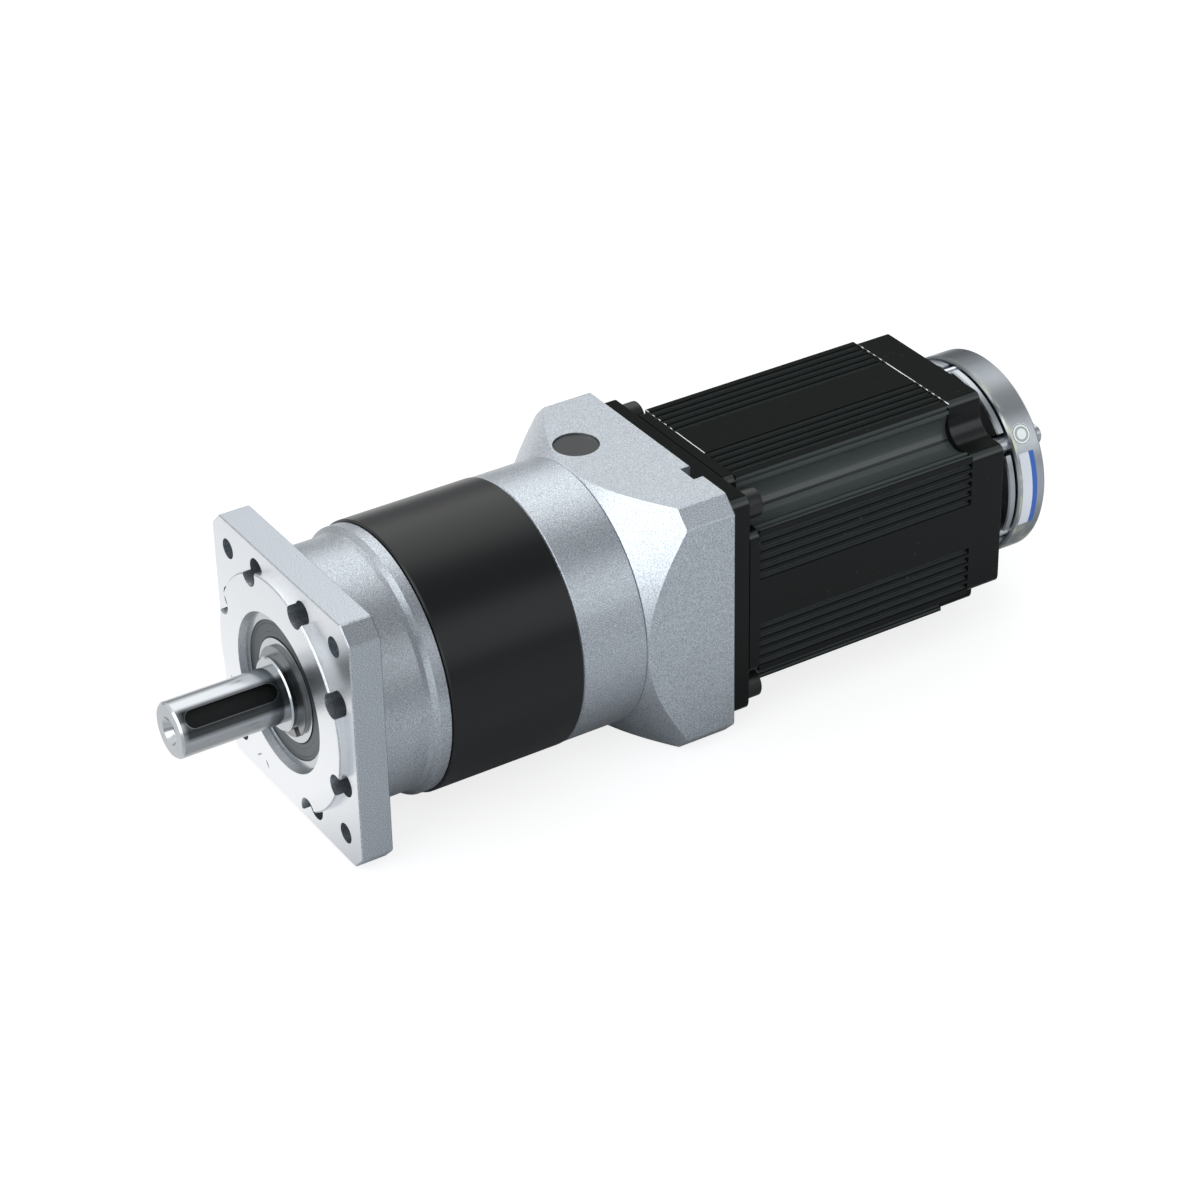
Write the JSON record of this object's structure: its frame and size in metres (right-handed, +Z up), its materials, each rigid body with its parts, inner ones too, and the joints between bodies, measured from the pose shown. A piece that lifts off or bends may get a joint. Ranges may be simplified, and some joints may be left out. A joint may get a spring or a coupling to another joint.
{
  "type": "planetary gearmotor",
  "caption": "Inline planetary gearmotor: square output flange, keyed shaft, black ring gear sleeve, clamp adapter, finned square servo motor and a round holding brake.",
  "frame": {"origin": "centre of the output flange's mounting face, on the shaft axis", "axes": "-Y out along the output shaft, +Y back through gearbox, motor and brake, +Z up through the adapter's access plug side"},
  "size_m": [0.096, 0.3205, 0.092],
  "materials": {
    "machined_aluminium": "fine bead-blasted, machined faces bright",
    "black_anodised": "satin black anodised",
    "plug_plastic": "matt",
    "screw_steel": "black oxide",
    "bright_screw_steel": "zinc plated",
    "bearing_steel": "ground",
    "shield_steel": "pressed sheet",
    "ground_steel": "ground and polished",
    "gear_steel": "case hardened",
    "spring_steel": "oiled",
    "bronze": "turned",
    "motor_black": "satin black",
    "seal_rubber": "moulded",
    "lamination_steel": "stacked sheets",
    "copper_winding": "varnished",
    "magnet": "nickel plated",
    "friction_lining": "sintered",
    "zinc_plated": "yellowish zinc",
    "gland_plastic": "moulded"
  },
  "bodies": {
    "housing": {"output_housing": "machined_aluminium", "ring_gear": "black_anodised", "input_housing": "machined_aluminium", "motor_adapter": "machined_aluminium", "access_plug": "plug_plastic", "output_housing_screws": "screw_steel", "input_housing_screws": "screw_steel", "adapter_screws": "screw_steel", "motor_mounting_screws": "screw_steel", "motor_body_screws": "screw_steel", "output_bearing_front_outer_race": "bearing_steel", "output_bearing_rear_outer_race": "bearing_steel", "bearing_shields": "shield_steel", "output_bearing_circlip": "spring_steel", "input_bearing_outer_race": "bearing_steel", "input_shaft_seal": "seal_rubber", "motor_front_flange": "motor_black", "motor_housing": "motor_black", "rear_bell": "motor_black", "cable_gland": "gland_plastic", "stator_core": "lamination_steel", "stator_windings": "copper_winding", "motor_bearing_front_outer_race": "bearing_steel", "motor_bearing_rear_outer_race": "bearing_steel", "wave_washer": "spring_steel", "brake_friction_plate": "zinc_plated", "brake_magnet_body": "zinc_plated", "brake_coil": "copper_winding", "brake_springs": "spring_steel", "brake_sleeves": "zinc_plated", "brake_guide_pins": "ground_steel", "brake_screws": "bright_screw_steel"},
    "output": {"output_shaft": "ground_steel", "planet_pins": "ground_steel", "output_bearing_front_inner_race": "bearing_steel", "output_bearing_rear_inner_race": "bearing_steel", "bearing_spacer": "ground_steel", "shaft_circlip": "spring_steel"},
    "planet_1": {"planet_gear_1": "gear_steel", "planet_bush_1": "bronze"},
    "planet_2": {"planet_gear_2": "gear_steel", "planet_bush_2": "bronze"},
    "planet_3": {"planet_gear_3": "gear_steel", "planet_bush_3": "bronze"},
    "rotor": {"sun_gear": "gear_steel", "clamp_hub": "ground_steel", "clamp_screw": "screw_steel", "hub_circlip": "spring_steel", "input_bearing_inner_race": "bearing_steel", "motor_shaft": "ground_steel", "rotor_core": "lamination_steel", "rotor_magnets": "magnet", "motor_bearing_front_inner_race": "bearing_steel", "motor_bearing_rear_inner_race": "bearing_steel", "brake_hub": "ground_steel", "friction_disc": "friction_lining"},
    "armature": {"armature_plate": "zinc_plated"},
    "output_balls": {"output_bearing_balls": "bearing_steel"},
    "input_balls": {"input_bearing_balls": "bearing_steel"},
    "motor_balls": {"motor_bearing_balls": "bearing_steel"}
  },
  "joints": [
    {"name": "output_spin", "type": "hinge", "parent": "housing", "child": "output", "pos_m": [0, 0, 0], "axis": [0, 1, 0], "continuous": true},
    {"name": "rotor_spin", "type": "hinge", "parent": "housing", "child": "rotor", "pos_m": [0, 0.15, 0], "axis": [0, 1, 0], "continuous": true},
    {"name": "armature_pull", "type": "slide", "parent": "housing", "child": "armature", "axis": [0, 1, 0], "range_m": [0, 0.0003], "stiffness_N_per_m": 20000},
    {"name": "planet_1_spin", "type": "hinge", "parent": "output", "child": "planet_1", "pos_m": [0, 0.0573, 0.0225], "axis": [0, 1, 0], "continuous": true},
    {"name": "planet_2_spin", "type": "hinge", "parent": "output", "child": "planet_2", "pos_m": [-0.01949, 0.0573, -0.01125], "axis": [0, 1, 0], "continuous": true},
    {"name": "planet_3_spin", "type": "hinge", "parent": "output", "child": "planet_3", "pos_m": [0.01949, 0.0573, -0.01125], "axis": [0, 1, 0], "continuous": true},
    {"name": "output_ball_roll", "type": "hinge", "parent": "housing", "child": "output_balls", "pos_m": [0, 0.0166, 0], "axis": [0, 1, 0], "continuous": true},
    {"name": "input_ball_roll", "type": "hinge", "parent": "housing", "child": "input_balls", "pos_m": [0, 0.094, 0], "axis": [0, 1, 0], "continuous": true},
    {"name": "motor_ball_roll", "type": "hinge", "parent": "housing", "child": "motor_balls", "pos_m": [0, 0.195, 0], "axis": [0, 1, 0], "continuous": true}
  ],
  "couplings": [
    {"joint": "rotor_spin", "follows": "output_spin", "ratio": 4},
    {"joint": "planet_1_spin", "follows": "output_spin", "ratio": -3},
    {"joint": "planet_2_spin", "follows": "output_spin", "ratio": -3},
    {"joint": "planet_3_spin", "follows": "output_spin", "ratio": -3},
    {"joint": "output_ball_roll", "follows": "output_spin", "ratio": 0.3983},
    {"joint": "input_ball_roll", "follows": "output_spin", "ratio": 1.6456},
    {"joint": "motor_ball_roll", "follows": "output_spin", "ratio": 1.536}
  ]
}
